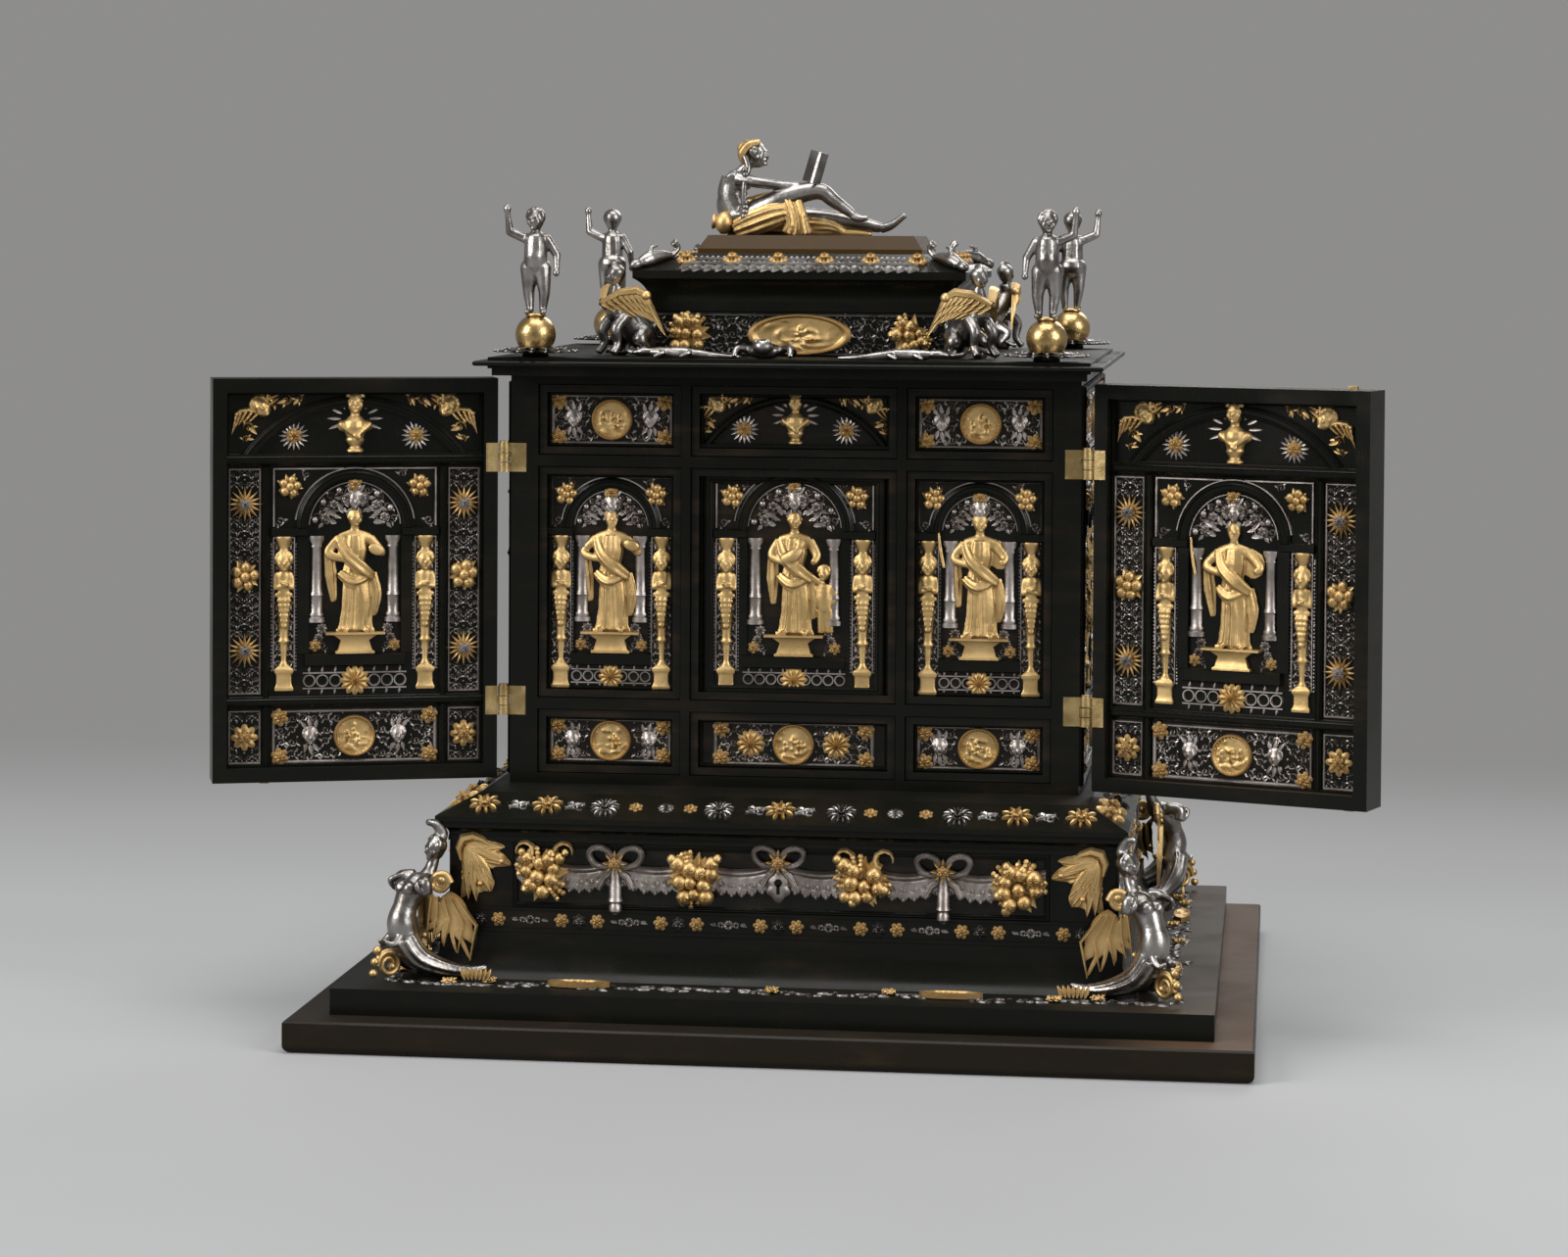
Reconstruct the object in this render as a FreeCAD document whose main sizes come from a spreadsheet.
import FreeCAD, Part
import math
import os
import re

# Ebony table cabinet with silver and gilt mounts: two open doors, nine drawers, a base drawer and a
# hinged crown. Millimetres. Origin at the bottom centre of the base board, front towards -Y, +Z up.

SIZES = {
    # base board and the step on it
    "board_width": 500, "board_depth": 440, "board_height": 17, "board_round": 4.5, "step_width": 459,
    "step_depth": 400, "step_height": 13.8,
    # lower case: the panel plane and what stands proud of it
    "panel_width": 353, "panel_depth": 297, "foot_height": 16.1, "foot_spread": 12.5, "band_height": 7.1,
    "band_proud": 4.5, "lower_bead_height": 2.3, "lower_bead_proud": 3, "flower_height": 9.1,
    "flower_proud": 2, "upper_bead_height": 1.7, "upper_bead_proud": 1.2, "panel_height": 35.1,
    "quirk_height": 2, "quirk_proud": 1, "cove_height": 5.3, "cove_proud": 4.5, "fillet_height": 3.5,
    "fillet_proud": 5, "slab_height": 2.7, "slab_proud": 7, "slope_height": 10.8, "slope_run": 21,
    "base_drawer_width": 284, "base_front_thickness": 8, "base_drawer_space": 41,
    "case_back_thickness": 20,
    # carcass
    "carcass_width": 309, "carcass_front": 98, "carcass_back": 127, "carcass_height": 222.5,
    "stile_width": 15, "back_thickness": 8, "rail_height": 6, "floor_rail_height": 5.5,
    "top_rail_height": 5.5, "divider_width": 5, "centre_width": 112, "bottom_row_height": 35,
    "top_row_height": 38.5,
    # drawers
    "drawer_gap": 0.5, "front_setback": 2, "front_thickness": 12, "front_recess": 6, "front_border": 4,
    "drawer_space": 19, "side_thickness": 5, "bottom_thickness": 4, "drawer_rim": 5,
    # doors
    "door_lift": 2.5, "door_top_gap": 2.6, "door_core": 23, "door_skin": 4, "door_recess": 8,
    "door_border": 7.5, "door_meeting_gap": 1, "door_face_gap": 0.8, "skin_setback": 2,
    "left_door_swing": 19, "right_door_swing": 20, "bolt_retreat": 2,
    # door hinges
    "hinge_height": 15.6, "lower_hinge_rise": 34.5, "upper_hinge_drop": 35.1, "knuckle_radius": 3.2,
    "knuckle_gap": 0.25, "hinge_pin_radius": 1, "pin_clearance": 0.1, "pin_head": 1.2, "leaf_width": 8.5,
    "door_leaf_width": 6.5, "leaf_thickness": 1.4, "leaf_proud": 0.3, "hinge_clearance": 0.3,
    # door bolts
    "bolt_width": 5, "bolt_thickness": 2.5, "bolt_length": 22, "bolt_out": 2, "bolt_travel": 4,
    "bolt_slack": 0.3, "right_bolt_inset": 11, "left_bolt_inset": 26, "bolt_depth": 11,
    "thumb_radius": 1.3, "thumb_length": 14,
    # main cornice
    "frieze_height": 3.8, "frieze_proud": 4.5, "astragal_height": 1.5, "astragal_proud": 6.4,
    "disc_height": 2.7, "disc_proud": 12, "crown_slab_height": 1.8, "crown_slab_proud": 6.3,
    "cornice_front_extra": 27,
    # attic case and lid
    "attic_width": 165, "attic_depth": 168, "attic_front": 73, "attic_height": 24, "attic_wall": 9,
    "lid_band_height": 5, "lid_cove_height": 12.8, "lid_overhang": 8.5, "lid_edge_height": 4.4,
    "lace_rise": 9.2, "lace_run": 26, "lid_gap": 0.4, "pedestal_width": 125, "pedestal_depth": 84,
    "pedestal_height": 10, "pedestal_batter": 5, "lid_knuckle_radius": 2, "lid_hinge_length": 16,
    "lid_hinge_reach": 52,
    # mounts: thin plates, rosettes and medallions
    "plate_thickness": 0.8, "plate_margin": 2, "medallion_radius": 11, "medallion_relief": 2.6,
    "rosette_radius": 4, "rosette_relief": 2.2, "mask_radius": 5.5, "sun_radius": 9.5,
    "cluster_radius": 9, "strip_width": 20, "arch_ring": 6.5, "arch_relief": 2.2, "herm_width": 7.5,
    "herm_relief": 4.2, "figure_height": 68, "figure_relief": 6.4, "console_width": 30,
    "console_height": 11.6, "console_gap": 5, "baluster_height": 15, "pediment_rise": 30,
    "moulding_relief": 2.4, "flower_radius": 3.6, "slope_flower_radius": 6.5, "festoon_relief": 3,
    "oval_length": 26, "step_mount_inset": 11, "panel_rail": 6.5,
    # free-standing silver and gilt work
    "globe_radius": 10.9, "skirt_radius": 17, "skirt_height": 4.2, "collar_radius": 5,
    "collar_height": 1.6, "putto_height": 58, "globe_inset": 29.5, "globe_front_inset": 17,
    "globe_back_inset": 17, "harpy_height": 82, "harpy_place": 15, "wing_thickness": 1.6,
    "bat_wing_reach": 8.5, "beast_height": 50, "beast_place": 12, "reclining_length": 104,
    "creature_thickness": 4.5, "lizard_length": 58, "creature_inset": 14, "mount_gap": 0.3,
    "eagle_wing_height": 38, "eagle_wing_width": 28,
}

PLACES = {
    "step_top": "board_height + step_height",
    "band_bottom": "step_top + foot_height",
    "lower_bead_bottom": "band_bottom + band_height",
    "flower_bottom": "lower_bead_bottom + lower_bead_height",
    "upper_bead_bottom": "flower_bottom + flower_height",
    "panel_bottom": "upper_bead_bottom + upper_bead_height",
    "panel_top": "panel_bottom + panel_height",
    "cove_bottom": "panel_top + quirk_height",
    "fillet_bottom": "cove_bottom + cove_height",
    "slab_bottom": "fillet_bottom + fillet_height",
    "slab_top": "slab_bottom + slab_height",
    "ledge": "slab_top + slope_height",
    "soffit": "ledge + carcass_height",
    "cornice_top": "soffit + frieze_height + astragal_height + disc_height + crown_slab_height",
    "disc_bottom": "soffit + frieze_height + astragal_height",
    "attic_top": "cornice_top + attic_height",
    "lid_bottom": "attic_top + lid_gap",
    "lid_cove_bottom": "lid_bottom + lid_band_height",
    "lid_edge_bottom": "lid_cove_bottom + lid_cove_height",
    "lid_edge_top": "lid_edge_bottom + lid_edge_height",
    "lid_top": "lid_edge_top + lace_rise",
    "pedestal_top": "lid_top + pedestal_height",
    "bottom_row": "ledge + floor_rail_height",
    "middle_row": "bottom_row + bottom_row_height + rail_height",
    "top_row": "soffit - top_rail_height - top_row_height",
    "middle_row_height": "top_row - rail_height - middle_row",
    "side_opening_width": "(carcass_width - centre_width) / 2 - stile_width - divider_width",
    "side_opening_place": "centre_width / 2 + divider_width + side_opening_width / 2",
    "base_drawer_depth": "panel_depth - case_back_thickness - base_drawer_space",
    "drawer_depth": "carcass_front + carcass_back - back_thickness - front_setback - drawer_space",
    "hinge_axis_out": "carcass_width / 2 + knuckle_radius + hinge_clearance",
    "hinge_axis_front": "carcass_front + door_face_gap / 2",
    "door_start": "knuckle_radius + hinge_clearance",
    "door_width": "carcass_width / 2 - door_meeting_gap",
    "door_height": "carcass_height - door_lift - door_top_gap",
    "door_bottom": "ledge + door_lift",
    "door_top": "door_bottom + door_height",
    "door_field": "door_face_gap / 2 + door_recess",
    "right_bolt_place": "door_start + door_width - right_bolt_inset - bolt_width",
    "left_bolt_place": "door_start + door_width - left_bolt_inset - bolt_width",
    "lower_hinge": "door_bottom + lower_hinge_rise",
    "upper_hinge": "door_top - upper_hinge_drop - hinge_height",
    "attic_back": "attic_depth - attic_front",
    "lid_axis_back": "attic_back + plate_thickness + lid_knuckle_radius + mount_gap",
}

doc = FreeCAD.newDocument("TableCabinet")


def fill_sheet(name, cells, formula):
    """A sheet with one named cell per row; formula turns a cell's entry into what the cell holds."""
    sheet = doc.addObject("Spreadsheet::Sheet", name)
    for row, (alias, entry) in enumerate(cells.items(), start=1):
        sheet.set(f"A{row}", alias)
        sheet.set(f"B{row}", formula(entry))
        sheet.setAlias(f"B{row}", alias)
    doc.recompute()
    return sheet


def qualified(expression):
    """The expression with each size's or place's name led by its sheet."""
    def lead(match):
        word = match.group(0)
        return f"Sizes.{word}" if word in SIZES else f"Places.{word}" if word in PLACES else word
    return re.sub(r"[a-z_]+", lead, expression)


def local_formula(entry):
    def lead(match):
        word = match.group(0)
        return f"Sizes.{word}" if word in SIZES else word
    return "=" + re.sub(r"[a-z_]+", lead, entry)


sizes = fill_sheet("Sizes", SIZES, str)
places = fill_sheet("Places", PLACES, local_formula)


def val(name):
    return float(getattr(sizes if name in SIZES else places, name))


V = FreeCAD.Vector
NODES = []


def bind(obj, prop, expression):
    obj.setExpression(prop, qualified(str(expression)))


def place_at(obj, at):
    for axis, expression in zip("xyz", at, strict=True):
        bind(obj, f"Placement.Base.{axis}", expression)


def box(name, size, at):
    """A board whose sides and place are bound to the sheets."""
    obj = doc.addObject("Part::Box", name)
    for prop, expression in zip(("Length", "Width", "Height"), size, strict=True):
        bind(obj, prop, expression)
    place_at(obj, at)
    return obj


def node(obj, name):
    obj.Label = name
    NODES.append(obj)
    return obj


def gather(name, objs, is_node=True):
    """Separate solids that belong to one named piece."""
    group = doc.addObject("Part::Compound", name + "_group")
    group.Links = objs
    return node(group, name) if is_node else group


def cut(name, base, tool):
    obj = doc.addObject("Part::Cut", name)
    obj.Base = base
    obj.Tool = tool
    return obj


def feature(name, shapes):
    """A carved or moulded piece, its shape worked out from the sheets' sizes."""
    obj = doc.addObject("Part::Feature", name + "_shape")
    obj.Shape = Part.makeCompound([solid for shape in shapes for solid in shape.Solids])
    return node(obj, name)


# Carved and moulded shapes
def block(x0, x1, y0, y1, z0, z1):
    return Part.makeBox(x1 - x0, y1 - y0, z1 - z0, V(x0, y0, z0))


def prism(points, relief, y=0.0):
    """A flat outline in the XZ plane, raised towards -Y."""
    corners = [V(x, y, z) for x, z in points]
    return Part.Face(Part.makePolygon(corners + corners[:1])).extrude(V(0, -relief, 0))


def profile_face(points, along):
    """A closed face through (place, middle) pairs; a middle bends the stretch that ends at that place."""
    edges = []
    start = points[0][0]
    for end, middle in points[1:] + points[:1]:
        if middle is None:
            edges.append(Part.LineSegment(along(start), along(end)).toShape())
        else:
            edges.append(Part.Arc(along(start), along(middle), along(end)).toShape())
        start = end
    return Part.Face(Part.Wire(edges))


def moulded(layers, half_width, front, back):
    """A block moulded on four sides, from (projection, height, arc's middle or None) layers going up."""
    def outline(low, high):
        left = [((low - out, z), mid and (low - mid[0], mid[1])) for out, z, mid in layers]
        bends = [mid for _, _, mid in layers[1:]] + [None]
        right = [((high + out, z), mid and (high + mid[0], mid[1]))
                 for (out, z, _), mid in zip(reversed(layers), reversed(bends), strict=True)]
        return left + right
    deep = front + back + half_width
    across = profile_face(outline(-half_width, half_width), lambda p: V(p[0], -deep, p[1]))
    along = profile_face(outline(-front, back), lambda p: V(-deep, p[0], p[1]))
    return across.extrude(V(0, 2 * deep, 0)).common(along.extrude(V(2 * deep, 0, 0))).Solids[0]


def steps(levels):
    """Layers of square mouldings from (projection, bottom, top) rows."""
    return [(out, z, None) for out, low, high in levels for z in (low, high)]


def limb(start, end, start_radius, end_radius):
    """A round limb with rounded ends."""
    start, end = V(*start), V(*end)
    length = (end - start).Length
    side, tip = start_radius * math.sqrt(0.5), end_radius * math.sqrt(0.5)
    edges = [
        Part.Arc(V(0, 0, -start_radius), V(side, 0, -side), V(start_radius, 0, 0)).toShape(),
        Part.LineSegment(V(start_radius, 0, 0), V(end_radius, 0, length)).toShape(),
        Part.Arc(V(end_radius, 0, length), V(tip, 0, length + tip), V(0, 0, length + end_radius)).toShape(),
        Part.LineSegment(V(0, 0, length + end_radius), V(0, 0, -start_radius)).toShape(),
    ]
    solid = Part.Face(Part.Wire(edges)).revolve(V(0, 0, 0), V(0, 0, 1), 360)
    solid.Placement = FreeCAD.Placement(start, FreeCAD.Rotation(V(0, 0, 1), end - start))
    return solid


def carve(limb_shares, scale, extra=()):
    """One solid from limbs, whose places and radii are shares of the scale."""
    solids = [limb([c * scale for c in a], [c * scale for c in b], r * scale, s * scale)
              for a, b, r, s in limb_shares]
    solids += list(extra)
    return solids[0].multiFuse(solids[1:]).Solids[0]


def fused(shapes):
    """The shapes as one or more solids that don't overlap."""
    return shapes[0].multiFuse(shapes[1:]).Solids if len(shapes) > 1 else shapes[0].Solids


def moved(shapes, placement):
    result = []
    for shape in shapes:
        copy = shape.copy()
        copy.Placement = placement.multiply(copy.Placement)
        result.append(copy)
    return result


def turn(x, y, z, angle=0.0, tilt=0.0):
    """Stands at a place, leaned back by tilt, then turned about the vertical by angle."""
    lean = FreeCAD.Rotation(V(1, 0, 0), tilt)
    return FreeCAD.Placement(V(x, y, z), FreeCAD.Rotation(V(0, 0, 1), angle).multiply(lean))


def disc(x, z, radius, relief, y=0.0):
    return Part.makeCylinder(radius, relief, V(x, y, z), V(0, -1, 0))


PETAL_NOTCH_SHARE = 0.62
PETAL_RELIEF_SHARE = 0.6
HEART_SHARE = 0.45


def flower(x, z, radius, relief, count, y=0.0):
    """A pointed flower, mask or sun with a bossed heart."""
    points = []
    for i in range(2 * count):
        reach = radius if i % 2 == 0 else radius * PETAL_NOTCH_SHARE
        angle = math.pi * i / count
        points.append((x + reach * math.sin(angle), z + reach * math.cos(angle)))
    star = prism(points, relief * PETAL_RELIEF_SHARE, y)
    return star.fuse(disc(x, z, radius * HEART_SHARE, relief, y)).Solids[0]


def plate(x0, x1, z0, z1):
    return block(x0, x1, -val("plate_thickness"), 0, z0, z1)


MEDALLION_FIELD_SHARE = 0.8
MEDALLION_CROWN_SHARE = 1.3


def medallion(x, z, radius):
    relief = val("medallion_relief")
    crown = disc(x, z, radius * MEDALLION_FIELD_SHARE, relief * MEDALLION_CROWN_SHARE)
    return disc(x, z, radius, relief).fuse(crown).Solids[0]


def oval(x, z, half_length, half_height, relief):
    ellipse = Part.Ellipse(V(0, 0, 0), half_length, half_height).toShape()
    solid = Part.Face(Part.Wire([ellipse])).extrude(V(0, 0, relief))
    solid.Placement = FreeCAD.Placement(V(x, 0, z), FreeCAD.Rotation(V(1, 0, 0), 90))
    return solid


def framed_panel(x, half_width, bottom, top):
    """A pierced plate with a medallion, four corner rosettes and two masks."""
    low, high = bottom + val("plate_margin"), top - val("plate_margin")
    half = half_width - val("plate_margin")
    middle = (low + high) / 2
    relief = val("rosette_relief")
    radius = min(val("rosette_radius"), (high - low) / 4)
    boss = min(val("medallion_radius"), (high - low) / 2)
    shapes = [plate(x - half, x + half, low, high), medallion(x, middle, boss)]
    for side in (-1, 1):
        shapes.append(flower(x + side * (half + boss) / 2, middle, min(val("mask_radius"), (half - boss) / 2),
                             relief, 5))
        for z in (low + radius, high - radius):
            shapes.append(flower(x + side * (half - radius), z, radius, relief, 6))
    return shapes


def segment(half_chord, rise, bottom, relief, x=0.0):
    """A low arch filled to its chord."""
    left, right = V(x - half_chord, 0, bottom), V(x + half_chord, 0, bottom)
    arc = Part.Arc(left, V(x, 0, bottom + rise), right).toShape()
    chord = Part.LineSegment(right, left).toShape()
    return Part.Face(Part.Wire([arc, chord])).extrude(V(0, -relief, 0))


PEDIMENT_SUN_SHARE = 0.58


def pediment(x, half_width, bottom, rise):
    """A segmental pediment with a bust between two suns."""
    ring = val("arch_ring") / 2
    rim = segment(half_width, rise, bottom, val("arch_relief"), x)
    rim = rim.cut(segment(half_width - 2 * ring, rise - 2 * ring, bottom + ring, 2 * val("arch_relief"), x))
    shapes = [segment(half_width, rise, bottom, val("plate_thickness"), x), rim]
    shapes += bust(x, bottom, rise)
    for side in (-1, 1):
        sun = min(val("sun_radius"), rise / 4)
        shapes.append(flower(x + side * half_width * PEDIMENT_SUN_SHARE, bottom + ring + sun, sun,
                             val("rosette_relief"), 8))
    return shapes


# Draped shoulders, neck and head: shares of the bust's height
BUST_SHARES = [
    ((0, -0.02, 0.2), (0.01, -0.03, 0.46), 0.25, 0.15), ((0.01, -0.025, 0.5), (0, -0.04, 0.76), 0.08, 0.14),
]


def bust(x, bottom, height):
    shapes = carve(BUST_SHARES, height)
    front = block(-height, height, -val("figure_relief"), 0, 0, height)
    return moved(shapes.common(front).Solids, turn(x, 0, bottom))


# Pillar with a bust and a capital: heights as shares of the whole
HERM_FOOT_SHARE = 0.12
HERM_TAPER_SHARE = 0.58
HERM_HEAD_SHARE = 0.76
HERM_CAPITAL_SHARE = 0.9
HERM_NARROW_SHARE = 0.5
HERM_SHAFT_RELIEF_SHARE = 0.85


def herm(x, bottom, height):
    width, relief = val("herm_width"), val("herm_relief")
    narrow = width * HERM_NARROW_SHARE
    foot_top, taper_top = bottom + height * HERM_FOOT_SHARE, bottom + height * HERM_TAPER_SHARE
    head_bottom, capital = bottom + height * HERM_HEAD_SHARE, bottom + height * HERM_CAPITAL_SHARE
    outline = [(x - narrow / 2, foot_top), (x - width / 2, taper_top), (x - narrow / 2, head_bottom),
               (x + narrow / 2, head_bottom), (x + width / 2, taper_top), (x + narrow / 2, foot_top)]
    return [block(x - width / 2, x + width / 2, -relief, 0, bottom, foot_top),
            prism(outline, relief * HERM_SHAFT_RELIEF_SHARE),
            block(x - narrow / 2, x + narrow / 2, -relief, 0, head_bottom, capital),
            block(x - width / 2, x + width / 2, -relief, 0, capital, bottom + height)]


def niche(x, half_width, bottom, top):
    """A plate with a round-headed opening between two pillars, rosettes in its spandrels."""
    herm_width, ring = val("herm_width"), val("arch_ring")
    radius = half_width - herm_width
    springing = top - radius - ring / 2
    opening = block(x - radius, x + radius, -ring, ring, bottom, springing)
    opening = opening.fuse(Part.makeCylinder(radius, 2 * ring, V(x, ring, springing), V(0, -1, 0)))
    back = plate(x - half_width, x + half_width, bottom, top).cut(opening)
    rim = disc(x, springing, radius + ring / 2, val("arch_relief"))
    rim = rim.cut(disc(x, springing, radius, 2 * ring, ring))
    rim = rim.common(block(x - half_width, x + half_width, -ring, 0, springing, top))
    shapes = back.Solids + rim.Solids
    for side in (-1, 1):
        shapes += herm(x + side * (half_width - herm_width / 2), bottom, springing - bottom)
        corner = min(val("mask_radius"), radius * (1 - math.sqrt(0.5)))
        shapes.append(flower(x + side * (half_width - corner), top - corner, corner,
                             val("rosette_relief"), 6))
    return shapes


# A standing draped figure facing -Y, as shares of its height: (from, to, radius at each)
STANDING_SHARES = [
    ((0, -0.012, 0.09), (0.01, -0.02, 0.44), 0.1, 0.08),
    ((-0.05, -0.02, 0.06), (-0.045, -0.03, 0.38), 0.05, 0.06),
    ((0.055, -0.025, 0.065), (0.05, -0.035, 0.4), 0.05, 0.055),
    ((0.01, -0.015, 0.46), (0, -0.01, 0.73), 0.078, 0.092),
    ((0, -0.014, 0.76), (0.002, -0.02, 0.85), 0.032, 0.03),
    ((0.004, -0.022, 0.9), (0.006, -0.02, 0.93), 0.052, 0.05),
    ((-0.09, -0.015, 0.75), (-0.17, -0.025, 0.6), 0.036, 0.028),
    ((-0.17, -0.027, 0.6), (-0.12, -0.045, 0.46), 0.027, 0.02),
]
RAISED_ARM_SHARES = [
    ((0.09, -0.017, 0.755), (0.17, -0.03, 0.66), 0.035, 0.028),
    ((0.17, -0.032, 0.66), (0.2, -0.04, 0.84), 0.027, 0.02),
]
LOWERED_ARM_SHARES = [
    ((0.09, -0.017, 0.755), (0.17, -0.025, 0.62), 0.035, 0.028),
    ((0.17, -0.027, 0.62), (0.13, -0.045, 0.5), 0.027, 0.02),
]


CONSOLE_FOOT_SHARE = 0.68


def standing_figure(x, niche_bottom, arm_shares):
    """A figure in half relief on its console, above the balustrade and no deeper than its niche allows."""
    height, relief = val("figure_height"), val("figure_relief")
    solid = carve(STANDING_SHARES + arm_shares, height)
    front = block(-height, height, -relief, 0, 0, height)
    half, drop = val("console_width") / 2, val("console_height")
    foot = half * CONSOLE_FOOT_SHARE
    console = prism([(-foot, -drop), (-half, 0), (half, 0), (foot, -drop)], relief)
    stand = niche_bottom + val("baluster_height") + val("console_gap") + drop
    return moved(solid.common(front).Solids + [console], turn(x, 0, stand))


BALUSTER_PITCH_SHARE = 0.45


def balustrade(x, half_width, bottom):
    """Balusters between two rails."""
    height, relief = val("baluster_height"), val("moulding_relief")
    rail = height / 6
    count = max(4, round(2 * half_width / (height * BALUSTER_PITCH_SHARE)))
    pitch = 2 * half_width / count
    shapes = [block(x - half_width, x + half_width, -relief, 0, bottom, bottom + rail),
              block(x - half_width, x + half_width, -relief, 0, bottom + height - rail, bottom + height)]
    for i in range(count):
        middle = x - half_width + (i + 0.5) * pitch
        shapes.append(block(middle - pitch / 4, middle + pitch / 4, -relief, 0, bottom + rail,
                            bottom + height - rail))
    return shapes


def overlay(shapes):
    """Ornaments that share a face, fused into solids that don't overlap."""
    return fused([solid for shape in shapes for solid in shape.Solids])


# Base board and step
CASE_FRONT = val("panel_depth") / 2
CASE_HALF = val("panel_width") / 2


def base():
    half, depth, round_ = val("board_width") / 2, val("board_depth") / 2, val("board_round")
    bend = round_ * (1 - math.sqrt(0.5))
    height = val("board_height")
    layers = [(-round_, 0, None), (0, round_, (-bend, bend)), (0, height - round_ / 4, None),
              (-round_ / 4, height, None)]
    feature("base_board", [moulded(layers, half, depth, depth)])
    node(box("step", ("step_width", "step_depth", "step_height"),
             ("-step_width / 2", "-step_depth / 2", "board_height")), "plinth_step")
    # flat filigree on the step, round the foot of the case
    inset, thin = val("step_mount_inset"), val("plate_thickness")
    shapes = []
    front = (CASE_HALF, val("step_depth") / 2, CASE_FRONT)
    side = (CASE_FRONT, val("step_width") / 2, CASE_HALF)
    for angle, (half_run, reach, foot) in ((0, front), (180, front), (90, side), (-90, side)):
        inner = foot + val("foot_spread") + val("mount_gap")
        outer = reach - inset
        strip = [block(-half_run, half_run, -outer, -inner, 0, thin)]
        for end in (-1, 1):
            long_oval = oval(end * half_run / 2, 0, val("oval_length") / 2, (outer - inner) / 3, 2 * thin)
            flat = FreeCAD.Placement(V(0, -(inner + outer) / 2, 0), FreeCAD.Rotation(V(1, 0, 0), -90))
            strip += moved([long_oval], flat)
        shapes += moved(overlay(strip), turn(0, 0, val("step_top"), angle))
    feature("step_mounts", shapes)


def on_faces(make, half_width, front, back, z, tilt=0.0):
    """What make(half_run) gives for each of the four faces of a block, set on those faces."""
    middle = (back - front) / 2
    half_depth = (front + back) / 2
    shapes = moved(make(half_width), turn(0, -front, z, 0, tilt))
    shapes += moved(make(half_width), turn(0, back, z, 180, tilt))
    shapes += moved(make(half_depth), turn(-half_width, middle, z, -90, tilt))
    return shapes + moved(make(half_depth), turn(half_width, middle, z, 90, tilt))


def flower_row(radius, relief, pitch_share, ends):
    """Makes a row of flowers, every third one a plain link."""
    def make(half_run):
        run = 2 * (half_run - ends)
        count = max(3, int(run / (2 * radius * pitch_share)))
        pitch = run / count
        result = []
        for i in range(count):
            x = -run / 2 + (i + 0.5) * pitch
            if i % 3 == 2:
                result.append(block(x - radius, x + radius, -relief / 2, 0, -radius / 3, radius / 3))
            else:
                result.append(flower(x, 0, radius, relief, 8 if i % 3 else 6))
        return result
    return make


# Lower case: where its coves bend, and how far apart its flowers lie, in flower widths
CASE_SCOOP_SHARES = (0.3, 0.7)
MOULDING_PITCH_SHARE = 1.7
SLOPE_PITCH_SHARE = 1.35
SLOPE_END_SHARE = 0.7


def lower_case():
    z = {name: val(name) for name in ("step_top", "band_bottom", "lower_bead_bottom", "flower_bottom",
                                      "upper_bead_bottom", "panel_bottom", "panel_top", "cove_bottom",
                                      "fillet_bottom", "slab_bottom", "slab_top", "ledge")}
    spread, band = val("foot_spread"), val("band_proud")
    hollow = (band + spread / 4, z["step_top"] + val("foot_height") / 3)
    foot = [(spread, z["step_top"], None), (band, z["band_bottom"], hollow),
            (band, z["lower_bead_bottom"], None)]
    foot += steps([(val("lower_bead_proud"), z["lower_bead_bottom"], z["flower_bottom"]),
                   (val("flower_proud"), z["flower_bottom"], z["upper_bead_bottom"]),
                   (val("upper_bead_proud"), z["upper_bead_bottom"], z["panel_bottom"])])
    feature("case_foot", [moulded(foot, CASE_HALF, CASE_FRONT, CASE_FRONT)])

    stile = "(panel_width - base_drawer_width) / 2 - drawer_gap"
    sides = [box(f"case_wall_{n}", (stile, "panel_depth", "panel_height"),
                 (x, "-panel_depth / 2", "panel_bottom"))
             for n, x in (("left", "-panel_width / 2"), ("right", "base_drawer_width / 2 + drawer_gap"))]
    back = box("case_wall_back",
               ("base_drawer_width + 2 * drawer_gap", "case_back_thickness", "panel_height"),
               ("-base_drawer_width / 2 - drawer_gap", "panel_depth / 2 - case_back_thickness",
                "panel_bottom"))
    gather("case_walls", sides + [back])

    cove, fillet, slab = val("cove_proud"), val("fillet_proud"), val("slab_proud")
    out_share, up_share = CASE_SCOOP_SHARES
    scoop = (cove * out_share, z["cove_bottom"] + val("cove_height") * up_share)
    top = steps([(val("quirk_proud"), z["panel_top"], z["cove_bottom"])])
    top += [(cove, z["fillet_bottom"], scoop)]
    top += steps([(fillet, z["fillet_bottom"], z["slab_bottom"]), (slab, z["slab_bottom"], z["slab_top"])])
    top += [(slab - val("slope_run"), z["ledge"], None)]
    feature("case_cornice", [moulded(top, CASE_HALF, CASE_FRONT, CASE_FRONT)])

    row = flower_row(val("flower_radius"), val("moulding_relief"), MOULDING_PITCH_SHARE, val("harpy_place"))
    out = val("flower_proud")
    feature("moulding_mounts", on_faces(row, CASE_HALF + out, CASE_FRONT + out, CASE_FRONT + out,
                                        (z["flower_bottom"] + z["upper_bead_bottom"]) / 2))
    out = slab - val("slope_run") / 2
    lean = math.degrees(math.atan2(val("slope_run"), val("slope_height")))
    slope = math.hypot(val("slope_run"), val("slope_height"))
    radius = min(val("slope_flower_radius"), slope / 2 - val("mount_gap"))
    row = flower_row(radius, val("rosette_relief"), SLOPE_PITCH_SHARE, val("slope_run") * SLOPE_END_SHARE)
    feature("slope_mounts", on_faces(row, CASE_HALF + out, CASE_FRONT + out, CASE_FRONT + out,
                                     (z["slab_top"] + z["ledge"]) / 2, -lean))


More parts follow.
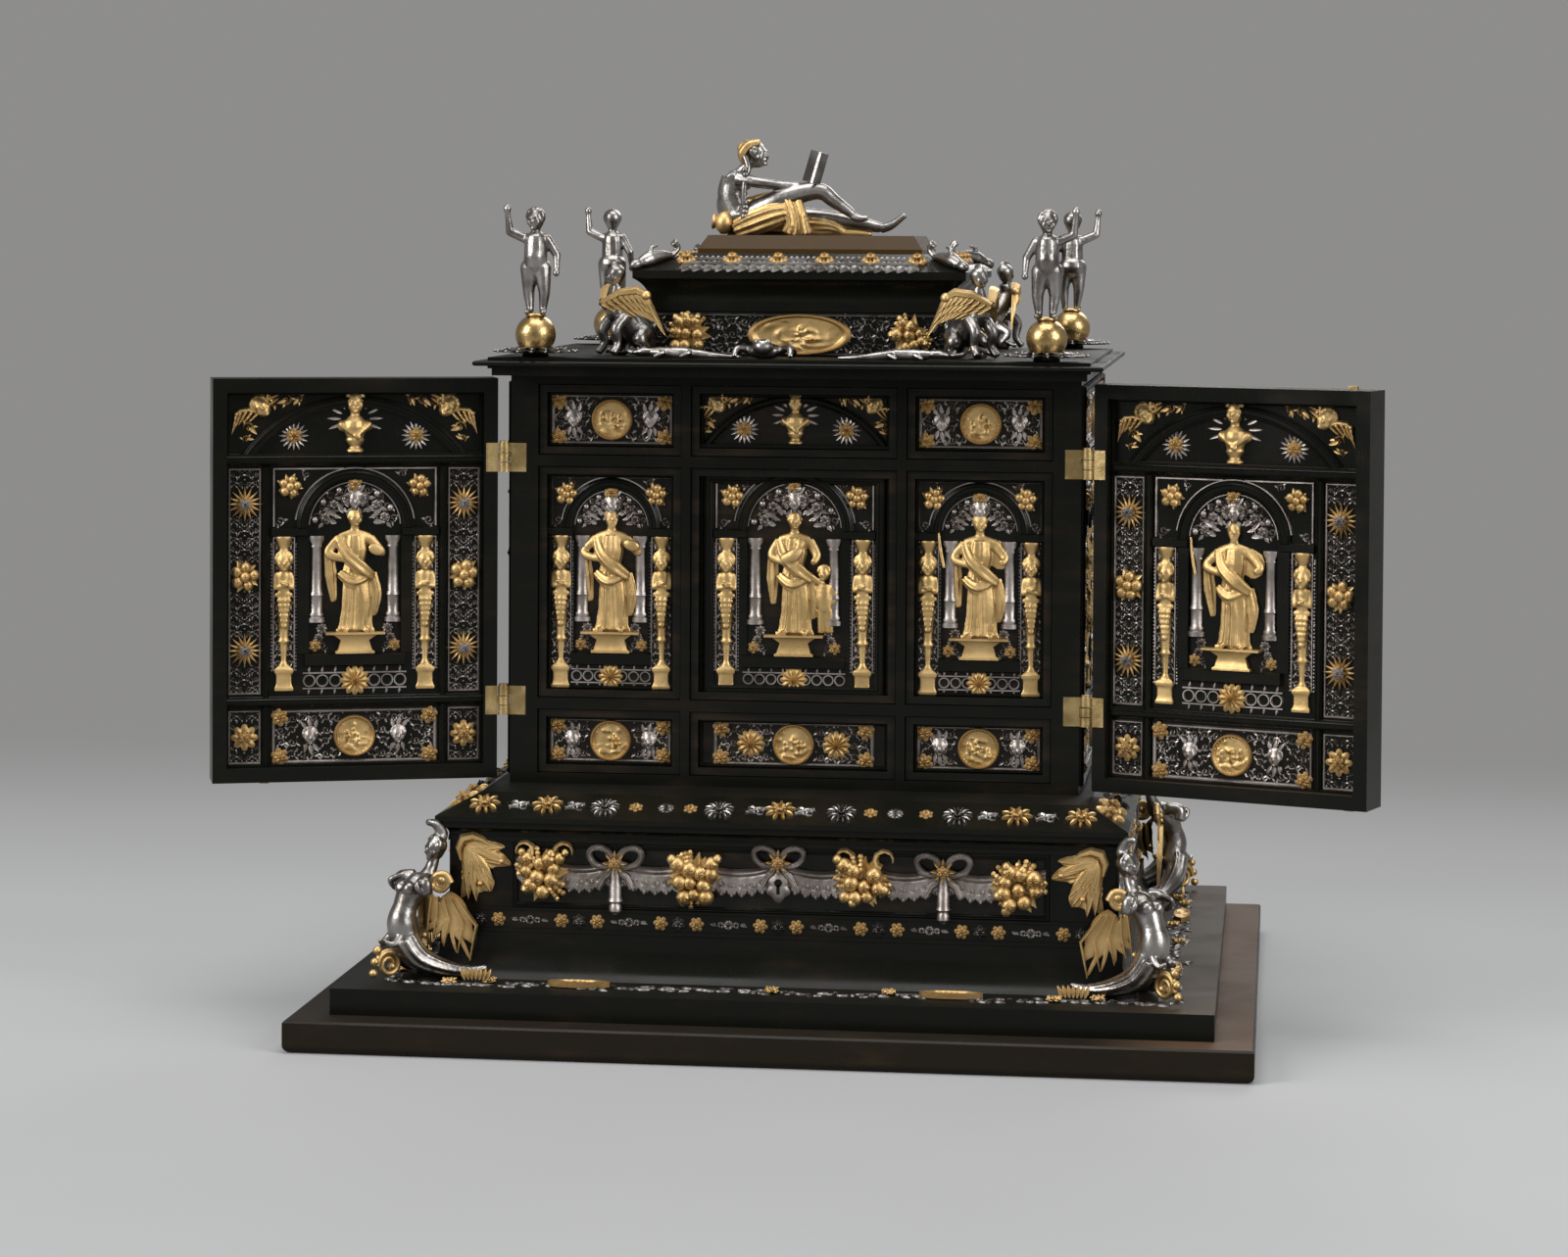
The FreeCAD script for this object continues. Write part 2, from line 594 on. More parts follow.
FESTOON_CLUSTER_SHARES = (-0.83, -0.3, 0.3, 0.83)
FESTOON_BOW_SHARES = (-0.57, 0.57)
ESCUTCHEON_SHARE = 1.4


def base_drawer():
    width, height = "base_drawer_width", "panel_height - 2 * drawer_gap"
    left, front, bottom = "-base_drawer_width / 2", "-panel_depth / 2", "panel_bottom + drawer_gap"
    inner, rim = "base_drawer_width - 2 * side_thickness", "panel_height - 2 * drawer_gap - drawer_rim"
    depth = "base_drawer_depth - base_front_thickness - side_thickness"
    boards = [
        box("base_drawer_front", (width, "base_front_thickness", height), (left, front, bottom)),
        box("base_drawer_back", (width, "side_thickness", rim),
            (left, "-panel_depth / 2 + base_drawer_depth - side_thickness", bottom)),
        box("base_drawer_left", ("side_thickness", depth, rim),
            (left, "-panel_depth / 2 + base_front_thickness", bottom)),
        box("base_drawer_right", ("side_thickness", depth, rim),
            ("base_drawer_width / 2 - side_thickness", "-panel_depth / 2 + base_front_thickness", bottom)),
        box("base_drawer_bottom", (inner, depth, "bottom_thickness"),
            ("-base_drawer_width / 2 + side_thickness", "-panel_depth / 2 + base_front_thickness", bottom)),
    ]
    gather("base_drawer", boards)
    half = val("base_drawer_width") / 2
    low, high = val("panel_bottom") + val("drawer_gap"), val("panel_top") - val("drawer_gap")
    middle, relief = (low + high) / 2, val("festoon_relief")
    shapes = []
    for share in FESTOON_CLUSTER_SHARES:
        shapes.append(flower(share * half, middle + val("cluster_radius") / 2, val("cluster_radius"),
                             relief, 9))
    for share in FESTOON_BOW_SHARES:
        shapes.append(flower(share * half, high - val("mask_radius"), val("mask_radius"), relief, 4))
        shapes.append(block(share * half - val("mask_radius") / 4, share * half + val("mask_radius") / 4,
                            -relief / 2, 0, low + val("mask_radius"), high - val("mask_radius")))
    shapes.append(medallion(0, middle, val("mask_radius") * ESCUTCHEON_SHARE))
    stops = sorted(FESTOON_CLUSTER_SHARES + FESTOON_BOW_SHARES + (0,))
    for before, after in zip(stops, stops[1:], strict=False):
        swag = segment((after - before) * half / 2, val("cluster_radius"), 0, relief / 3)
        place = V((after + before) * half / 2, 0, high - val("rosette_radius"))
        shapes += moved([swag], FreeCAD.Placement(place, FreeCAD.Rotation(V(0, 1, 0), 180)))
    feature("base_drawer_mounts", moved(overlay(shapes), turn(0, -CASE_FRONT, 0)))


# Carcass
def carcass():
    front, height = "-carcass_front", "carcass_height"
    depth = "carcass_front + carcass_back - back_thickness"
    inner = "carcass_width - 2 * stile_width"
    sides = []
    for word, x, leaf_x in (("left", "-carcass_width / 2", "-carcass_width / 2"),
                            ("right", "carcass_width / 2 - stile_width", "carcass_width / 2 - leaf_width")):
        side = box(f"carcass_{word}", ("stile_width", depth, height), (x, front, "ledge"))
        for place in ("lower_hinge", "upper_hinge"):
            pocket = box(f"{word}_{place}_pocket",
                         ("leaf_width", "leaf_thickness - leaf_proud", "hinge_height"),
                         (leaf_x, front, place))
            side = cut(f"carcass_{word}_{place}", side, pocket)
        sides.append(side)
    rest = [
        box("carcass_back", ("carcass_width", "back_thickness", height),
            ("-carcass_width / 2", "carcass_back - back_thickness", "ledge")),
        box("carcass_floor", (inner, depth, "floor_rail_height"),
            ("-carcass_width / 2 + stile_width", front, "ledge")),
        box("carcass_top", (inner, depth, "top_rail_height"),
            ("-carcass_width / 2 + stile_width", front, "soffit - top_rail_height")),
    ]
    gather("carcass_shell", sides + rest)

    between = "carcass_height - floor_rail_height - top_rail_height"
    boards = [box(f"upright_{n}", ("divider_width", depth, between), (x, front, "bottom_row"))
              for n, x in (("left", "-centre_width / 2 - divider_width"), ("right", "centre_width / 2"))]
    for column, width, x in (("left", "side_opening_width", "-side_opening_place - side_opening_width / 2"),
                             ("centre", "centre_width", "-centre_width / 2"),
                             ("right", "side_opening_width", "side_opening_place - side_opening_width / 2")):
        for row, bottom in (("lower", "middle_row - rail_height"), ("upper", "top_row - rail_height")):
            boards.append(box(f"rail_{column}_{row}", (width, depth, "rail_height"), (x, front, bottom)))
    gather("drawer_dividers", boards)

    soffit, disc_low = val("soffit"), val("disc_bottom")
    layers = steps([(val("frieze_proud"), soffit, soffit + val("frieze_height")),
                    (val("astragal_proud"), soffit + val("frieze_height"), disc_low)])
    nose = (val("disc_proud") + val("disc_height") / 2, disc_low + val("disc_height") / 2)
    disc_top = disc_low + val("disc_height")
    layers += [(val("disc_proud"), disc_low, None), (val("disc_proud"), disc_top, nose)]
    layers += steps([(val("crown_slab_proud"), disc_top, val("cornice_top"))])
    feature("main_cornice", [moulded(layers, val("carcass_width") / 2,
                                     val("carcass_front") + val("cornice_front_extra"), val("carcass_back"))])
    side_mounts()


WING_SHARES = [(0, 0), (1, 0.1), (0.75, 0.3), (0.9, 0.5), (0.6, 0.68), (0.65, 1), (0.2, 0.8), (0, 0.5)]


def side_mounts():
    """Plates on the sides and back of the carcass, and feathered wings on the lower case's front stiles."""
    low, high = val("bottom_row"), val("soffit") - val("top_rail_height")
    rail = val("panel_rail")

    def panels(half_run):
        half = half_run - rail
        fine = high - val("top_row_height") - rail
        coarse = low + val("bottom_row_height") + rail
        shapes = framed_panel(0, half, low, coarse - rail) + framed_panel(0, half, fine + rail, high)
        third = 2 * half / 3
        for x in (-third, 0, third):
            shapes += niche(x, third / 2 - val("plate_margin"), coarse, fine)
        return overlay(shapes)

    carcass_half = val("carcass_width") / 2
    depth_half = (val("carcass_front") + val("carcass_back")) / 2
    middle = (val("carcass_back") - val("carcass_front")) / 2
    shapes = moved(panels(depth_half), turn(-carcass_half, middle, 0, -90))
    shapes += moved(panels(depth_half), turn(carcass_half, middle, 0, 90))
    shapes += moved(panels(carcass_half), turn(0, val("carcass_back"), 0, 180))
    width, height = val("eagle_wing_width"), val("panel_height") - 2 * val("mount_gap")
    for side in (-1, 1):
        start = val("base_drawer_width") / 2 + val("plate_margin") + width
        outline = [(side * (start - x * width), z * height) for x, z in WING_SHARES]
        shapes += moved([prism(outline, val("festoon_relief"))],
                        turn(0, -CASE_FRONT, val("panel_bottom") + val("mount_gap")))
    for turned, reach in ((-90, CASE_HALF), (90, CASE_HALF), (180, CASE_FRONT)):
        run = (CASE_FRONT if turned != 180 else CASE_HALF) - val("panel_rail")
        panel = overlay(framed_panel(0, run, val("panel_bottom"), val("panel_top")))
        shapes += moved(moved(panel, turn(0, -reach, 0)), turn(0, 0, 0, turned))
    feature("side_mounts", shapes)


# Drawers
def drawer(name, x, bottom, width, height):
    """Boards of one drawer; its front is recessed for the mounts."""
    gap = "drawer_gap"
    left, low = f"{x} - {width} / 2 + {gap}", f"{bottom} + {gap}"
    full, tall = f"{width} - 2 * {gap}", f"{height} - 2 * {gap}"
    rim = f"{height} - 2 * {gap} - drawer_rim"
    front = "-carcass_front + front_setback"
    behind = "-carcass_front + front_setback + front_thickness"
    depth = "drawer_depth - front_thickness - side_thickness"
    face = box(name + "_face", (full, "front_thickness", tall), (left, front, low))
    recess = box(name + "_recess",
                 (f"{full} - 2 * front_border", "front_recess", f"{tall} - 2 * front_border"),
                 (f"{left} + front_border", front, f"{low} + front_border"))
    boards = [
        cut(name + "_front", face, recess),
        box(name + "_left", ("side_thickness", depth, rim), (left, behind, low)),
        box(name + "_right", ("side_thickness", depth, rim),
            (f"{x} + {width} / 2 - {gap} - side_thickness", behind, low)),
        box(name + "_back", (full, "side_thickness", rim), (left, f"{behind} + {depth}", low)),
        box(name + "_bottom", (f"{full} - 2 * side_thickness", depth, "bottom_thickness"),
            (f"{left} + side_thickness", behind, low)),
    ]
    return gather(name, boards)


def drawers():
    columns = (("left", "-side_opening_place", "side_opening_width"), ("centre", "0", "centre_width"),
               ("right", "side_opening_place", "side_opening_width"))
    rows = (("bottom", "bottom_row", "bottom_row_height"), ("middle", "middle_row", "middle_row_height"),
            ("top", "top_row", "top_row_height"))
    middles = {"left": -val("side_opening_place"), "centre": 0.0, "right": val("side_opening_place")}
    edge = val("drawer_gap") + val("front_border")
    face = turn(0, -val("carcass_front") + val("front_setback") + val("front_recess"), 0)
    for row, bottom, height in rows:
        for column, x, width in columns:
            name = f"{row}_{column}_drawer"
            drawer(name, x, bottom, width, height)
            half = val(width) / 2 - edge
            low, high = val(bottom) + edge, val(bottom) + val(height) - edge
            middle = middles[column]
            if row == "middle":
                wide = half - val("plate_margin")
                shapes = niche(middle, wide, low, high)
                shapes += balustrade(middle, wide - val("herm_width") - val("plate_margin"), low)
                figure = standing_figure(middle, low, RAISED_ARM_SHARES)
                feature(f"{column}_niche_figure", moved(figure, face))
            elif name == "top_centre_drawer":
                shapes = pediment(middle, half - val("plate_margin"), low, high - low)
            else:
                shapes = framed_panel(middle, half, low, high)
            feature(name + "_mounts", moved(overlay(shapes), face))


# Doors, modelled about their hinge axes: a door lies along +X from its axis when side is 1, along -X when -1
def door_pose(side):
    swing = val("left_door_swing" if side == 1 else "right_door_swing")
    return FreeCAD.Placement(V(-side * val("hinge_axis_out"), -val("hinge_axis_front"), 0),
                             FreeCAD.Rotation(V(0, 0, -side), 180 - swing))


def hang(obj, side):
    """Sets a bound piece, modelled about the hinge axis, at its door's place."""
    obj.Placement = door_pose(side)
    bind(obj, "Placement.Base.x", f"{-side} * hinge_axis_out")
    bind(obj, "Placement.Base.y", "-hinge_axis_front")
    swing = "left_door_swing" if side == 1 else "right_door_swing"
    bind(obj, "Placement.Rotation.Angle", f"180 - {swing}")
    return obj


def across(side, start, width):
    """The lowest X of a board that starts this far from the hinge axis."""
    return f"{start}" if side == 1 else f"-({start}) - ({width})"


BOLTS = {
    "right_top_bolt": (-1, "right_bolt_place", 1), "right_bottom_bolt": (-1, "right_bolt_place", -1),
    "left_bottom_bolt": (1, "left_bolt_place", -1),
}


def bolt_places(name):
    """The bolt's bottom and its thumb piece's middle, as expressions."""
    side, place, up = BOLTS[name]
    low = "door_top + bolt_out - bolt_length" if up == 1 else "door_bottom - bolt_out"
    return side, place, up, low, f"{low} + bolt_length / 2"


def door(word, side):
    face = "-door_face_gap / 2"
    core = box(f"{word}_door_core", ("door_width", "door_core", "door_height"),
               (across(side, "door_start", "door_width"), f"{face} - door_core", "door_bottom"))
    hollow = "door_width - 2 * door_border"
    cuts = [box(f"{word}_door_hollow", (hollow, "door_recess", "door_height - 2 * door_border"),
                (across(side, "door_start + door_border", hollow), f"{face} - door_recess",
                 "door_bottom + door_border"))]
    for place in ("lower_hinge", "upper_hinge"):
        cuts.append(box(f"{word}_door_{place}_pocket",
                        ("door_leaf_width", "leaf_thickness - leaf_proud", "hinge_height"),
                        (across(side, "door_start", "door_leaf_width"),
                         f"{face} - leaf_thickness + leaf_proud", place)))
    skin_tools = []
    for name in BOLTS:
        bolt_side, place, up, low, thumb = bolt_places(name)
        if bolt_side != side:
            continue
        wide = "bolt_width + 2 * bolt_slack"
        deep = "bolt_thickness + 2 * bolt_slack"
        cuts.append(box(f"{name}_channel", (wide, deep, "bolt_length + bolt_retreat + bolt_slack"),
                        (across(side, f"{place} - bolt_slack", wide),
                         f"{face} - bolt_depth - bolt_thickness - bolt_slack",
                         f"{low} - bolt_retreat - bolt_slack" if up == 1 else low)))
        slot = "2 * thumb_radius + 2 * bolt_slack"
        before = "bolt_travel" if up == -1 else "bolt_retreat"
        long_slot = f"{slot} + bolt_travel + bolt_retreat"
        for tools, start in ((cuts, "door_core"), (skin_tools, "door_core - door_skin")):
            tools.append(box(f"{name}_slot_{len(tools)}", (slot, "door_core", long_slot),
                             (across(side, f"{place} + bolt_width / 2 - thumb_radius - bolt_slack", slot),
                              f"{face} - {start}" + (" - bolt_depth" if tools is cuts else ""),
                              f"{thumb} - thumb_radius - bolt_slack - {before}")))
    for i, tool in enumerate(cuts):
        core = cut(f"{word}_door_core_{i}", core, tool)
    skin_width = "door_width - 2 * skin_setback"
    skin = box(f"{word}_door_skin", (skin_width, "door_skin", "door_height - 2 * skin_setback"),
               (across(side, "door_start + skin_setback", skin_width), f"{face} - door_core - door_skin",
                "door_bottom + skin_setback"))
    for i, tool in enumerate(skin_tools):
        skin = cut(f"{word}_door_skin_{i}", skin, tool)
    hang(gather(f"{word}_door_panel", [core, skin]), side)

    middle = side * (val("door_start") + val("door_width") / 2)
    inner = door_pose(side).multiply(turn(middle, -val("door_field"), 0, 180))
    feature(f"{word}_door_mounts", moved(overlay(door_mounts()), inner))
    arms = RAISED_ARM_SHARES if side == -1 else LOWERED_ARM_SHARES
    feature(f"{word}_door_figure", moved(standing_figure(0, door_levels()["niche"], arms), inner))


def door_levels():
    low = val("door_bottom") + val("door_border") + val("plate_margin")
    high = val("door_top") - val("door_border") - val("plate_margin")
    niche_low = low + val("bottom_row_height") + val("moulding_relief")
    entablature = high - val("pediment_rise") - val("arch_ring")
    return {"low": low, "high": high, "niche": niche_low, "entablature": entablature}


STRIP_SUN_SHARES = (0.2, 0.8)


def door_mounts():
    """Pediment over an entablature, a niche between two strips, a balustrade and a bottom panel row."""
    at = door_levels()
    half = val("door_width") / 2 - val("door_border") - val("plate_margin")
    strip, relief = val("strip_width"), val("rosette_relief")
    inner = half - strip - val("plate_margin")
    shapes = pediment(0, half, at["high"] - val("pediment_rise"), val("pediment_rise"))
    shapes.append(block(-half, half, -val("moulding_relief"), 0, at["entablature"],
                        at["high"] - val("pediment_rise")))
    shapes += niche(0, inner, at["niche"], at["entablature"])
    shapes += balustrade(0, inner - val("herm_width") - val("plate_margin"), at["niche"])
    shapes.append(medallion(0, at["niche"] + val("baluster_height") / 2, val("baluster_height") / 2))
    shapes += framed_panel(0, inner + val("plate_margin"), at["low"] - val("plate_margin"),
                           at["low"] + val("bottom_row_height"))
    tall = at["entablature"] - at["niche"]
    for side in (-1, 1):
        middle = side * (half - strip / 2)
        shapes.append(plate(middle - strip / 2, middle + strip / 2, at["niche"], at["entablature"]))
        for share in STRIP_SUN_SHARES:
            shapes.append(flower(middle, at["niche"] + share * tall, val("sun_radius"), relief, 12))
        shapes.append(flower(middle, at["niche"] + tall / 2, val("cluster_radius"), val("festoon_relief"), 7))
        square = val("bottom_row_height") - val("plate_margin")
        shapes.append(plate(middle - strip / 2, middle + strip / 2, at["low"], at["low"] + square))
        shapes.append(flower(middle, at["low"] + square / 2, val("cluster_radius"), relief, 8))
    return shapes


def barrel(radius, bore, low, high):
    return Part.makeCylinder(radius, high - low, V(0, 0, low)).cut(
        Part.makeCylinder(bore, high - low, V(0, 0, low)))


def hinge_leaves(case_side, side):
    """Leaves with their knuckles, about the hinge axis; three knuckles, the outer two on the case."""
    radius, bore = val("knuckle_radius"), val("hinge_pin_radius") + val("pin_clearance")
    thick, proud, half_gap = val("leaf_thickness"), val("leaf_proud"), val("door_face_gap") / 2
    height, gap = val("hinge_height"), val("knuckle_gap")
    third = height / 3
    shapes = []
    for low in (val("lower_hinge"), val("upper_hinge")):
        spans = [(low, low + third - gap), (low + 2 * third + gap, low + height)]
        if not case_side:
            spans = [(low + third + gap, low + 2 * third - gap)]
        width = val("leaf_width") if case_side else val("door_leaf_width")
        face = half_gap if case_side else -half_gap
        y0, y1 = (face - proud, face + thick - proud) if case_side else (face - thick + proud, face + proud)
        start = val("door_start")
        leaf = block(start, start + width, y0, y1, low, low + height)
        solid = [leaf]
        for span in spans:
            tongue = block(0, start, y0, y1, *span)
            bored = tongue.fuse(Part.makeCylinder(radius, span[1] - span[0], V(0, 0, span[0])))
            solid.append(bored.cut(Part.makeCylinder(bore, height, V(0, 0, low))))
        if side == -1:
            solid = [part.mirror(V(0, 0, 0), V(1, 0, 0)) for part in solid]
        shapes += fused(solid)
    return shapes


PIN_HEAD_SHARE = 0.8


def hinges():
    shapes = []
    pins = []
    for side in (1, -1):
        at_axis = turn(-side * val("hinge_axis_out"), -val("hinge_axis_front"), 0)
        shapes += moved(hinge_leaves(True, side), at_axis)
        for low in (val("lower_hinge"), val("upper_hinge")):
            pin = Part.makeCylinder(val("hinge_pin_radius"), val("hinge_height"), V(0, 0, low))
            head = Part.makeCylinder(val("knuckle_radius") * PIN_HEAD_SHARE, val("pin_head"),
                                     V(0, 0, low + val("hinge_height")))
            pins += moved([pin.fuse(head)], at_axis)
    for side in (-1, 1):
        case_part, pin, lid_part = lid_hinge(side * val("lid_hinge_reach"))
        shapes += case_part
        pins.append(pin)
        LID_HINGES.extend(lid_part)
    feature("case_hinge_leaves", shapes)
    feature("hinge_pins", pins)
    for word, side in (("left", 1), ("right", -1)):
        feature(f"{word}_door_hinge_leaves", moved(hinge_leaves(False, side), door_pose(side)))


LID_HINGES = []


def lid_hinge(x):
    """A small three-knuckle hinge behind the attic, its axis along X."""
    radius, bore = val("lid_knuckle_radius"), val("hinge_pin_radius") / 2 + val("pin_clearance")
    length, gap, thin = val("lid_hinge_length"), val("knuckle_gap"), val("plate_thickness")
    y, z = val("lid_axis_back"), val("lid_bottom") - val("lid_gap") / 2
    start, third = x - length / 2, length / 3
    axis = V(1, 0, 0)

    def knuckle(low, high, z0, z1):
        tongue = block(low, high, val("attic_back"), y, z0, z1)
        round_ = Part.makeCylinder(radius, high - low, V(low, y, z), axis)
        return tongue.fuse(round_).cut(Part.makeCylinder(bore, length, V(start, y, z), axis))

    below, above = val("attic_top") - val("plate_margin"), val("lid_bottom") + val("plate_margin")
    near, far = val("attic_back"), val("attic_back") + thin
    case_part = [block(start, start + length, near, far, below, val("attic_top"))]
    case_part += [knuckle(a, b, z - radius, z) for a, b in
                  ((start, start + third - gap), (start + 2 * third + gap, start + length))]
    lid_part = [block(start, start + length, near, far, val("lid_bottom"), above),
                knuckle(start + third + gap, start + 2 * third - gap, z, z + radius)]
    pin = Part.makeCylinder(val("hinge_pin_radius") / 2, length, V(start, y, z), axis)
    return fused(case_part), pin, fused(lid_part)


def bolts():
    for name in BOLTS:
        side, place, _, low, _ = bolt_places(name)
        depth = "-door_face_gap / 2 - bolt_depth - bolt_thickness"
        bar = box(f"{name}_bar", ("bolt_width", "bolt_thickness", "bolt_length"),
                  (across(side, place, "bolt_width"), depth, low))
        thumb = doc.addObject("Part::Cylinder", f"{name}_thumb")
        bind(thumb, "Radius", "thumb_radius")
        bind(thumb, "Height", "thumb_length")
        thumb.Placement = FreeCAD.Placement(V(0, 0, 0), FreeCAD.Rotation(V(1, 0, 0), 90))
        place_at(thumb, (f"{side} * ({place} + bolt_width / 2)", depth, f"{low} + bolt_length / 2"))
        both = doc.addObject("Part::Fuse", name + "_whole")
        both.Base = bar
        both.Tool = thumb
        hang(gather(name, [both]), side)


# Attic, its lid and what stands on them: the frieze's oval and fruit, the lid's cove and its lace
ATTIC_OVAL_SHARES = (0.34, 0.38)
ATTIC_FRUIT_SHARES = (0.72, 0.3)
LID_SCOOP_SHARES = (0.3, 0.6)
LACE_PITCH_SHARE = 0.42


def attic():
    front, back = "-attic_front", "attic_depth - attic_front"
    inner = "attic_width - 2 * attic_wall"
    boards = [
        box("attic_front_board", ("attic_width", "attic_wall", "attic_height"),
            ("-attic_width / 2", front, "cornice_top")),
        box("attic_back_board", ("attic_width", "attic_wall", "attic_height"),
            ("-attic_width / 2", f"{back} - attic_wall", "cornice_top")),
        box("attic_left_board", ("attic_wall", "attic_depth - 2 * attic_wall", "attic_height"),
            ("-attic_width / 2", f"{front} + attic_wall", "cornice_top")),
        box("attic_right_board", ("attic_wall", "attic_depth - 2 * attic_wall", "attic_height"),
            (f"-attic_width / 2 + attic_wall + {inner}", f"{front} + attic_wall", "cornice_top")),
    ]
    gather("attic_case", boards)
    half, height = val("attic_width") / 2, val("attic_height")
    oval_long, oval_high = ATTIC_OVAL_SHARES
    fruit_place, fruit_radius = ATTIC_FRUIT_SHARES

    def frieze(half_run):
        shapes = [plate(-half_run + val("plate_margin"), half_run - val("plate_margin"), val("plate_margin"),
                        height - val("plate_margin")),
                  oval(0, height / 2, half_run * oval_long, height * oval_high, val("medallion_relief"))]
        for side in (-1, 1):
            shapes.append(flower(side * half_run * fruit_place, height / 2, height * fruit_radius,
                                 val("festoon_relief"), 7))
        return overlay(shapes)

    feature("attic_mounts", on_faces(frieze, half, val("attic_front"), val("attic_back"), val("cornice_top")))

    overhang = val("lid_overhang")
    z0, z1, z2 = val("lid_bottom"), val("lid_cove_bottom"), val("lid_edge_bottom")
    z3, z4 = val("lid_edge_top"), val("lid_top")
    out_share, up_share = LID_SCOOP_SHARES
    scoop = (overhang * out_share, z1 + (z2 - z1) * up_share)
    layers = [(0, z0, None), (0, z1, None), (overhang, z2, scoop), (overhang, z3, None),
              (overhang - val("lace_run"), z4, None)]
    feature("lid_case", [moulded(layers, half, val("attic_front"), val("attic_back"))])
    out = overhang - val("lace_run") / 2
    lean = math.degrees(math.atan2(val("lace_run"), val("lace_rise")))

    def lace(half_run):
        inside = half_run - val("lace_run") / 2
        slope = math.hypot(val("lace_run"), val("lace_rise")) / 2 - val("plate_margin")
        shapes = [plate(-inside, inside, -slope, slope)]
        for i in range(5):
            shapes.append(flower((i - 2) * inside * LACE_PITCH_SHARE, 0, val("cluster_radius") / 2,
                                 val("rosette_relief"), 8))
        return overlay(shapes)

    feature("lid_mounts", on_faces(lace, half + out, val("attic_front") + out, val("attic_back") + out,
                                   (z3 + z4) / 2, -lean))
    batter = val("pedestal_batter")
    middle = (val("attic_back") - val("attic_front")) / 2
    foot = moulded([(0, z4, None), (0, z4 + batter / 2, None), (-batter, val("pedestal_top"), None)],
                   val("pedestal_width") / 2, val("pedestal_depth") / 2, val("pedestal_depth") / 2)
    feature("pedestal", moved([foot], turn(0, middle, 0)))
    feature("reclining_figure", moved([reclining_figure()], turn(0, middle, val("pedestal_top"))))
    feature("lid_hinge_leaves", LID_HINGES)


# Reclining figure, shares of its length: torso, head, arms, legs and the jar it leans on
RECLINING_SHARES = [
    ((-0.08, 0, 0.11), (-0.18, 0, 0.2), 0.08, 0.065), ((-0.18, 0, 0.2), (-0.26, 0, 0.33), 0.065, 0.075),
    ((-0.27, 0, 0.36), (-0.28, -0.01, 0.41), 0.03, 0.03),
    ((-0.285, -0.01, 0.44), (-0.28, -0.015, 0.465), 0.052, 0.05),
    ((-0.2, -0.03, 0.34), (-0.07, -0.06, 0.31), 0.032, 0.027),
    ((-0.07, -0.06, 0.31), (0.07, -0.05, 0.38), 0.027, 0.02),
    ((-0.32, 0.02, 0.33), (-0.38, 0.02, 0.22), 0.032, 0.026),
    ((-0.06, -0.04, 0.1), (0.09, -0.06, 0.27), 0.062, 0.045),
    ((0.09, -0.06, 0.27), (0.2, -0.06, 0.07), 0.045, 0.03),
    ((0.2, -0.06, 0.06), (0.27, -0.07, 0.05), 0.028, 0.022),
    ((-0.06, 0.04, 0.1), (0.18, 0.05, 0.1), 0.062, 0.048),
    ((0.18, 0.05, 0.1), (0.42, 0.03, 0.08), 0.045, 0.03),
    ((0.42, 0.03, 0.08), (0.48, 0, 0.12), 0.03, 0.022), ((-0.43, 0.02, 0.1), (-0.37, 0.02, 0.2), 0.085, 0.05),
]
# Blocks as shares of the figure's length: lowest and highest x, y and z
CLOTH_SHARES = (-0.5, 0.5, -0.14, 0.14, 0, 0.06)
BOOK_SHARES = (0.04, 0.14, -0.07, -0.03, 0.36, 0.46)


def reclining_figure():
    length = val("reclining_length")
    blocks = [block(*(share * length for share in shares)) for shares in (CLOTH_SHARES, BOOK_SHARES)]
    return carve(RECLINING_SHARES, length, blocks)


# Child on a globe, facing -Y, one arm up; shares of its height
PUTTO_SHARES = [
    ((-0.06, 0.0, 0.03), (-0.07, -0.03, 0.24), 0.035, 0.05),
    ((-0.07, -0.03, 0.24), (-0.05, 0, 0.42), 0.055, 0.07),
    ((0.05, 0.02, 0.03), (0.07, 0.0, 0.24), 0.035, 0.05), ((0.07, 0.0, 0.24), (0.05, 0, 0.42), 0.055, 0.07),
    ((0, 0, 0.45), (0, 0, 0.68), 0.11, 0.095), ((0, -0.01, 0.74), (0, -0.02, 0.84), 0.045, 0.088),
    ((0.1, 0, 0.7), (0.22, -0.03, 0.78), 0.045, 0.04), ((0.22, -0.03, 0.78), (0.2, -0.04, 0.96), 0.04, 0.03),
    ((-0.1, 0, 0.7), (-0.19, 0.02, 0.55), 0.045, 0.04),
    ((-0.19, 0.02, 0.55), (-0.2, -0.04, 0.41), 0.036, 0.028),
]
# Winged beast, sitting, facing its diagonal; shares of its height
BEAST_SHARES = [
    ((0, 0, 0.14), (-0.1, 0, 0.4), 0.14, 0.12), ((-0.1, 0, 0.4), (0.02, 0, 0.62), 0.12, 0.1),
    ((0.02, 0, 0.62), (0.05, 0, 0.82), 0.08, 0.07), ((0.05, 0, 0.86), (0.14, 0, 0.83), 0.09, 0.045),
    ((0.08, 0.08, 0.45), (0.16, 0.1, 0.06), 0.05, 0.045),
    ((0.08, -0.08, 0.45), (0.16, -0.1, 0.06), 0.05, 0.045),
    ((-0.14, 0, 0.16), (-0.3, 0, 0.22), 0.06, 0.03),
]
BEAST_WING_SHARES = [
    ((-0.08, 0.1, 0.5), (-0.2, 0.22, 0.72), 0.05, 0.03), ((-0.2, 0.22, 0.72), (-0.34, 0.3, 0.4), 0.03, 0.02),
]
# Foot disc and paws: radius and height, and the paws' place, as shares of the beast's height
BEAST_FOOT_SHARES = (0.14, 0.08)
BEAST_PAW_SHARES = (0.05, 0.06)
BEAST_PAW_PLACE_SHARES = (0.16, 0.1)
